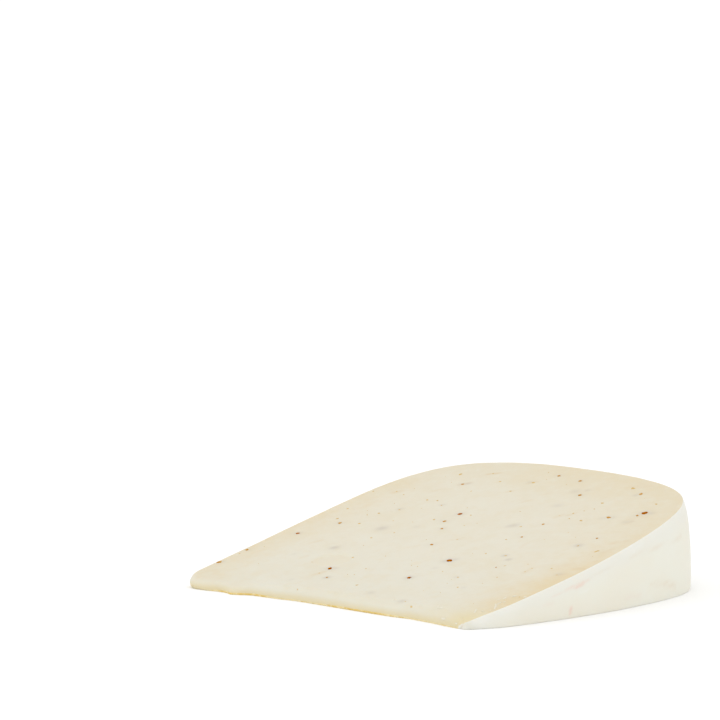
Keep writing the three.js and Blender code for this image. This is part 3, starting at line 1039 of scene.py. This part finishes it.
def paint_cheese(mesh, lines, skin):
    """Gives the body the numbers that its finishes follow"""
    places = [vertex.co.copy() for vertex in mesh.vertices]
    paint(mesh, "band", band_values(places, lines))
    # A painted highlight along the ridge over the thin edge
    paint(mesh, "ridge", ridge_highlight_values(places, lines))
    paint(mesh, "dent", dent_values(places, skin))
    paint(mesh, "stain", spread(places, stain_spots(skin)))
    paint(mesh, "below_cut", [(height_over(place) - place.z) / MM for place in places])
    paint(mesh, "from_edge", [from_thin_edge(place) / MM for place in places])
    for kind, strokes in STROKES.items():
        paint(mesh, kind, stroke_values(places, skin, strokes))


def add_object(name, data):
    """A new object in the scene"""
    made = bpy.data.objects.new(name, data)
    bpy.context.scene.collection.objects.link(made)
    return made


def mesh_object(bm, name):
    """Turns a bmesh into an object"""
    mesh = bpy.data.meshes.new(name)
    bm.to_mesh(mesh)
    bm.free()
    return add_object(name, mesh)


def finish_mesh(bm, name):
    """Turns a bmesh into a smooth piece that rides on the part's only body"""
    bmesh.ops.recalc_face_normals(bm, faces=bm.faces)
    for face in bm.faces:
        face.smooth = True
    piece = mesh_object(bm, name)
    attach(piece, "root")
    return piece


def build_cheese():
    """The wedge: paste on the cut faces and the thin edge, rind on the rest of the skin"""
    lines = all_uprights()
    bm = bmesh.new()
    cheese_shape(bm, lines)
    sort_by_place(bm.verts, lambda vertex: vertex.co)
    sort_by_place(bm.faces, lambda face: face.calc_center_median())
    bmesh.ops.recalc_face_normals(bm, faces=bm.faces)
    add_relief(bm)
    press_dents(bm, BVHTree.FromBMesh(bm))
    skin = BVHTree.FromBMesh(bm)
    piece = finish_mesh(bm, "cheese_body")
    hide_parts("cheese_wedge")
    paint_cheese(piece.data, lines, skin)
    return piece, skin


def add_grain(bm, place, normal, width, proud, draw):
    """One angular truffle grain, sunk into a face of the cheese and longer along the curd's grain"""
    made = bmesh.ops.create_icosphere(bm, subdivisions=2, radius=1)["verts"]
    length = width * draw.uniform(*FLECK_LENGTHENING)
    turn = Matrix.Rotation(CURD_GRAIN + draw.uniform(-FLECK_TURN, FLECK_TURN), 3, "Z")
    lean = Vector((0, 0, 1)).rotation_difference(normal).to_matrix()
    offset = Vector((draw.uniform(*OFFSETS), 0, 0))
    middle = place + normal * (proud - 0.5 * FLECK_THICKNESS)
    for vertex in made:
        knobbly = 1 + FLECK_KNOBS * noise.noise(vertex.co * FLECK_KNOB_SPACING + offset)
        size = Vector((length, width, FLECK_THICKNESS)) * 0.5 * knobbly
        vertex.co = middle + lean @ (turn @ (vertex.co * size))
        vertex.co.z = max(vertex.co.z, lowest.z)


def place_on_base(draw):
    """A place on the lower cut, clear of the rind"""
    while True:
        x = draw.uniform(UNDERSIDE_FROM_EDGE, highest.x - SHIFT.x)
        y = draw.uniform(lowest.y, highest.y) - SHIFT.y
        share = share_at(x + UNDERSIDE_MARGIN, 0)
        near_end = side_at(NEAR, share) + UNDERSIDE_MARGIN
        far_end = side_at(FAR, share) - UNDERSIDE_MARGIN
        if share < 1 and near_end < y < far_end:
            return Vector((x, y, 0)) + SHIFT


def build_flecks(name, flecks, skin, proud, underside):
    """The flecks of one kind: those that the photograph shows, then some on the underside"""
    draw = random.Random(FLECK_SEED + len(name))
    bm = bmesh.new()
    for across, down, width in flecks:
        place, normal = seen_on(skin, across, down)
        add_grain(bm, place, normal, width * MM, proud, draw)
    for _ in range(underside):
        place = place_on_base(draw)
        add_grain(bm, place, BASE_CUT, draw.uniform(*UNDERSIDE_WIDTHS) * MM, 0, draw)
    return finish_mesh(bm, name)


def build_scraps(skin):
    """Pale scraps and scuffs that the knife raised: thin slivers that follow the surface"""
    draw = random.Random(SCRAP_SEED)
    bm = bmesh.new()
    for start_across, start_down, end_across, end_down, width in SCRAPS:
        start, start_normal = seen_on(skin, start_across, start_down)
        end, end_normal = seen_on(skin, end_across, end_down)
        add_sliver(bm, start, end, (start_normal + end_normal).normalized(), width * MM, draw)
    return finish_mesh(bm, "cheese_scraps")


def add_sliver(bm, start, end, normal, width, draw):
    """One sliver between two places, bowed to one side and thickest in the middle"""
    made = bmesh.ops.create_icosphere(bm, subdivisions=3, radius=1)["verts"]
    along = end - start
    across = normal.cross(along).normalized()
    bow = draw.uniform(-SCRAP_BOW, SCRAP_BOW) * along.length
    offset = Vector((draw.uniform(*OFFSETS), 0, 0))
    for vertex in made:
        lengthwise, sidewise, upwards = vertex.co
        ragged = 1 + SCRAP_RAGGEDNESS * noise.noise(vertex.co * SCRAP_RAG_SPACING + offset)
        place = start + along * 0.5 * (1 + lengthwise)
        place += across * (0.5 * width * sidewise * ragged + bow * (1 - lengthwise**2) * 0.5)
        vertex.co = place + normal * (SCRAP_THICKNESS * width * upwards * ragged)


class Value:
    """A number on its way through a material's nodes: sums on it add Math nodes"""

    def __init__(self, finish, socket):
        self.finish = finish
        self.socket = socket

    def sum_with(self, operation, first, second):
        return self.finish.value("ShaderNodeMath", {"operation": operation}, {0: first, 1: second})

    def __add__(self, other):
        return self.sum_with("ADD", self, other)

    def __sub__(self, other):
        return self.sum_with("SUBTRACT", self, other)

    def __rsub__(self, other):
        return self.sum_with("SUBTRACT", other, self)

    def __mul__(self, other):
        return self.sum_with("MULTIPLY", self, other)

    __radd__ = __add__
    __rmul__ = __mul__


class Finish:
    """One material and the nodes that make its colour, roughness and bumps"""

    def __init__(self, name, light=LIGHT_LEVEL, veil=0.0):
        self.light = light
        self.veil = veil
        self.material = bpy.data.materials.new(name)
        self.material.use_nodes = True
        self.tree = self.material.node_tree
        self.shader = self.tree.nodes["Principled BSDF"]
        self.place = self.value("ShaderNodeTexCoord", {}, {}, "Object")
        self.colour = None

    def set_inputs(self, node, inputs):
        """Gives sockets of a node their links or plain values"""
        for name, value in inputs.items():
            if isinstance(value, Value):
                self.tree.links.new(value.socket, node.inputs[name])
            else:
                node.inputs[name].default_value = value

    def value(self, kind, settings, inputs, output=0):
        """What comes out of a new node, from its type, its settings and its inputs"""
        node = self.tree.nodes.new(kind)
        for name, setting in settings.items():
            setattr(node, name, setting)
        self.set_inputs(node, inputs)
        return Value(self, node.outputs[output])

    def ease(self, value, start, end):
        """0 before start and 1 after end, with a soft turn at both"""
        inputs = {"Value": value, "From Min": start, "From Max": end}
        return self.value("ShaderNodeMapRange", {"interpolation_type": "SMOOTHSTEP"}, inputs)

    def fade(self, value, start, end):
        """1 before start and 0 after end"""
        return 1 - self.ease(value, start, end)

    def tint(self, shown):
        """A fixed colour that shows as these screen values on a side face"""
        colour = self.value("ShaderNodeRGB", {}, {})
        colour.socket.default_value = surface_colour(shown, SIDE_LIGHT, SIDE_VEIL)
        return colour

    def blend(self, share, start, end):
        """A colour between two others, each linked or given by the screen values that it shows as"""
        inputs = {0: share}
        for socket, colour in zip(BLEND_SOCKETS, (start, end)):
            linked = isinstance(colour, Value)
            inputs[socket] = colour if linked else surface_colour(colour, self.light, self.veil)
        return self.value("ShaderNodeMix", {"data_type": "RGBA"}, inputs, 2)

    def cover(self, share, colour):
        """Lays a share of a colour over what is there"""
        self.colour = self.blend(share, self.colour, colour)

    def clouds(self, size, detail=3, roughness=0.6, stretch=(1, 1, 1)):
        """Noise with lumps of about that size, between 0 and 1"""
        stretched = {0: self.place, 1: stretch}
        place = self.value("ShaderNodeVectorMath", {"operation": "MULTIPLY"}, stretched)
        inputs = {"Vector": place, "Scale": 1 / size, "Detail": detail, "Roughness": roughness}
        return self.value("ShaderNodeTexNoise", {}, inputs)

    def painted(self, name):
        """A number that the piece's points carry"""
        return self.value("ShaderNodeAttribute", {"attribute_name": name}, {}, "Fac")

    def axis(self, name):
        """One of the three coordinates of the place on the piece"""
        return self.value("ShaderNodeSeparateXYZ", {}, {0: self.place}, name)

    def distance(self, place):
        """Distance from a place"""
        return self.value("ShaderNodeVectorMath", {"operation": "DISTANCE"}, {0: self.place, 1: place}, 1)

    def surface(self, roughness, bumps, bump_height, shine):
        """Joins colour, roughness and bumps to the shader, and sets how much it shines"""
        bump = self.value("ShaderNodeBump", {}, {"Height": bumps, "Distance": bump_height, "Strength": 1})
        self.set_inputs(self.shader, {"Base Color": self.colour, "Roughness": roughness})
        self.set_inputs(self.shader, {"Normal": bump, "Specular IOR Level": shine})

    def translucent(self, reach):
        """Light that sinks in and comes out again, deepest in red"""
        self.shader.subsurface_method = "RANDOM_WALK"
        self.set_inputs(self.shader, {"Subsurface Weight": SINK_SHARE, "Subsurface Scale": SINK_DEPTH})
        self.set_inputs(self.shader, {"Subsurface Radius": reach})


def uneven(value, base, spread):
    """A number that rises from a base by a spread, as clouds between 0 and 1 say"""
    return base + spread * value


def surface_colour(shown, light, veil):
    """The colour of a surface that shows on screen as these values from 0 to 255 under an amount of
    white light, of which a share comes back as a veil"""
    values = []
    for channel in shown:
        share = channel / 255
        linear = share / 12.92 if share <= 0.04045 else ((share + 0.055) / 1.055) ** 2.4
        values.append(max((linear / light - veil) / (1 - veil), 0))
    return (*values, 1)


def paste_finish():
    """Cut cheese: ivory, cooler at the thin edge, tan along the rind, with a painted highlight on the
    ridge and on a dent's rim, tan and painted shade low on the edge face, and a painted golden glow
    on the lower lip
    """
    finish = Finish("cheese_paste", LIGHT_LEVEL, CUT_VEIL)
    broad = finish.clouds(BROAD_CLOUDS, roughness=0.5)
    middling = finish.clouds(MIDDLING_CLOUDS)
    fine = finish.clouds(FINE_CLOUDS)
    from_edge = finish.painted("from_edge")
    finish.colour = finish.blend(finish.ease(from_edge, *TOWARDS_RIM), IVORY, IVORY_AT_RIM)
    finish.cover(finish.fade(from_edge, *TOWARDS_THIN_EDGE), IVORY_AT_THIN_EDGE)
    for clouds, (start, end, strength) in zip((broad, middling, fine), WARM_CLOUDS):
        finish.cover(finish.ease(clouds, start, end) * strength, WARM_CLOUD)
    for clouds, (start, end, strength) in zip((middling, fine), PALE_CLOUDS):
        finish.cover(finish.fade(clouds, start, end) * strength, PALE_CLOUD)
    finish.cover(finish.painted("band") * (BAND_MIDDLING * middling + BAND_FINE * fine), RIND_BAND)
    near_corner = Vector((NEAR_CORNER.x, NEAR_CORNER.y, THIN_EDGE)) + SHIFT
    corner = finish.fade(finish.distance(near_corner), *CORNER_SPREAD)
    finish.cover(corner * CORNER_STRENGTH, CORNER_YELLOW)
    beside = finish.fade(finish.distance(near_corner + BESIDE_CORNER), *BESIDE_SPREAD)
    finish.cover(beside * BESIDE_STRENGTH, CORNER_YELLOW)
    # The ridge's painted highlight, the dents' colour, and pale marks with a dent rim's painted highlight
    for name, strength, colour in PAINTED_LAYERS:
        finish.cover(finish.painted(name) * strength, colour)
    finish.cover(finish.painted("tan") * uneven(fine, *TAN_SHOWS), STREAK_TAN)
    z = finish.axis("Z")
    wall = finish.fade(from_edge, *EDGE_FACE)
    # Tan low on the edge face: partly its own colour, partly painted shade near the floor
    finish.cover(finish.fade(z, *WALL_HEIGHTS) * wall * WALL_TAN_AND_SHADE_STRENGTH, finish.tint(WALL_TAN_AND_SHADE))
    # A painted golden glow along the thin edge's foot, for light through it and warm light from beneath
    twist = finish.clouds(GOLD_LUMPS, detail=2)
    rich = finish.fade(finish.distance(GOLD_RICHEST), *RICHEST_SPREAD)
    rich = rich + finish.fade(finish.distance(GOLD_RICH_TOO), *RICH_TOO_SPREAD)
    deep = finish.ease(twist + rich * GOLD_DEEPER_WHERE_RICH, *GOLD_DEEPENS)
    painted_glow = finish.blend(deep, finish.tint(GOLD_PALE), finish.tint(GOLD_DEEP))
    tip = finish.ease(finish.axis("Y"), GOLD_TO - GOLD_FADE, GOLD_TO)
    lip_height = z + (twist - 0.5) * GOLD_WAVER * MM - rich * GOLD_RISE * MM
    finish.cover(finish.fade(lip_height, *GOLD_HEIGHTS) * wall * (1 - tip), painted_glow)
    finish.cover(finish.painted("stain") * STAIN_STRENGTH, STAIN)
    bumps = finish.clouds(PASTE_BUMPS, detail=4)
    finish.surface(uneven(fine, *PASTE_ROUGHNESS), bumps, PASTE_BUMP_HEIGHT, SHINE)
    finish.translucent(PASTE_SINK)
    return finish.material


def rind_finish():
    """Smooth rind: cool off-white, paler just below the cut as a painted highlight, with faint pink,
    brown and chalky marks, painted shade at the near corner and in the crease by the bead, and a painted
    highlight on the bead
    """
    finish = Finish("cheese_rind", SIDE_LIGHT, SIDE_VEIL)
    broad = finish.clouds(RIND_CLOUDS, roughness=0.5)
    streaks = finish.clouds(RIND_STREAKS, stretch=RIND_STREAK_STRETCH)
    patchy = finish.ease(finish.clouds(RIND_PATCHES), *RIND_PATCHES_SHOW)
    finish.colour = finish.blend(finish.ease(broad, *RIND_CLOUDS_SHOW), RIND_WHITE, RIND_CREAM)
    # A paler band just below the cut: a painted highlight where the rind turns up towards it
    under_cut_highlight = finish.fade(finish.painted("below_cut"), *UNDER_CUT_HIGHLIGHT)
    finish.cover(under_cut_highlight * UNDER_CUT_HIGHLIGHT_STRENGTH, RIND_UNDER_CUT_HIGHLIGHT)
    from_edge = finish.painted("from_edge")
    low = finish.fade(finish.axis("Z"), *RIND_LOW_HEIGHTS) * finish.ease(from_edge, *RIND_LOW_BEGINS)
    low = low * finish.fade(from_edge, *RIND_LOW_ENDS)
    finish.cover(low * RIND_LOW_STRENGTH, RIND_LOW)
    # Painted shade on the rind round the near corner, at the floor
    near_corner = Vector((NEAR_CORNER.x, NEAR_CORNER.y, 0)) + SHIFT
    finish.cover(finish.fade(finish.distance(near_corner), *RIND_CORNER_SHADE_SPREAD), RIND_CORNER_SHADE)
    finish.cover(finish.ease(streaks, *RIND_STREAKS_SHOW) * RIND_STREAK_STRENGTH, RIND_STREAK)
    # Chalky marks, and a painted highlight on the bead where the rind starts
    finish.cover(finish.painted("chalk_and_bead_highlight") * CHALK_AND_BEAD_HIGHLIGHT_STRENGTH, CHALK_AND_BEAD_HIGHLIGHT)
    # Brown marks, and painted shade in the crease beside the bead
    finish.cover(finish.painted("brown") * uneven(patchy, *BROWN_AND_SHADE_SHOWS), BROWN_MARK_AND_CREASE_SHADE)
    finish.cover(finish.painted("pink") * uneven(patchy, *PINK_SHOWS), MARK_PINK)
    bumps = finish.clouds(RIND_BUMPS, detail=4, roughness=0.55)
    finish.surface(uneven(streaks, *RIND_ROUGHNESS), bumps, RIND_BUMP_HEIGHT, SHINE)
    finish.translucent(RIND_SINK)
    return finish.material


def mottled_finish(name, dark, light):
    """A small matt grain or scrap, mottled between two colours"""
    finish = Finish(name)
    mottle = finish.clouds(GRAIN_MOTTLE)
    finish.colour = finish.blend(finish.ease(mottle, *MOTTLE_SHOWS), dark, light)
    finish.surface(uneven(mottle, *GRAIN_ROUGHNESS), mottle, GRAIN_BUMP_HEIGHT, 0)
    return finish.material


def build_camera():
    """The camera at the photograph's place, turn, tilt and roll"""
    right, up, back = camera_axes()
    data = bpy.data.cameras.new("camera")
    data.sensor_width = SENSOR_WIDTH
    data.lens = FOCAL_PIXELS / PICTURE_SIZE * SENSOR_WIDTH
    camera = add_object("camera", data)
    turned = Matrix((right, up, back)).transposed().to_4x4()
    camera.matrix_world = Matrix.Translation(CAMERA_PLACE) @ turned
    bpy.context.scene.camera = camera


def build_floor():
    """A wide pale floor at the height of the base"""
    bm = bmesh.new()
    bmesh.ops.create_grid(bm, x_segments=2, y_segments=2, size=FLOOR_SIZE)
    floor = mesh_object(bm, "floor")
    floor.data.transform(Matrix.Translation((0, 0, lowest.z)))
    material = bpy.data.materials.new("pale_floor")
    material.use_nodes = True
    shader = material.node_tree.nodes["Principled BSDF"]
    shader.inputs["Base Color"].default_value = FLOOR_WHITE
    shader.inputs["Roughness"].default_value = 1
    shader.inputs["Specular IOR Level"].default_value = 0
    floor.data.materials.append(material)


def build_light():
    """Even white light from all round, with soft light from above on the camera's left"""
    world = bpy.data.worlds.new("studio")
    world.use_nodes = True
    background = world.node_tree.nodes["Background"]
    background.inputs["Color"].default_value = (1, 1, 1, 1)
    background.inputs["Strength"].default_value = WORLD_STRENGTH
    bpy.context.scene.world = world
    data = bpy.data.lights.new("soft_sun", "SUN")
    data.energy = SUN_STRENGTH
    data.angle = SUN_SPREAD
    light = add_object("soft_sun", data)
    light.matrix_world = SUN_PLACE.to_track_quat("Z", "Y").to_matrix().to_4x4()
    bpy.context.scene.view_settings.view_transform = "Standard"


cheese, cheese_skin = build_cheese()
cheese.data.materials.append(paste_finish())
cheese.data.materials.append(rind_finish())

for name, slot, flecks, proud, underside, dark, light in FLECK_KINDS:
    piece = build_flecks(name, flecks, cheese_skin, proud, underside)
    piece.data.materials.append(mottled_finish(slot, dark, light))
scraps = build_scraps(cheese_skin)
scraps.data.materials.append(mottled_finish("cheese_scraps", *SCRAP_WHITE))

build_camera()
build_floor()
build_light()
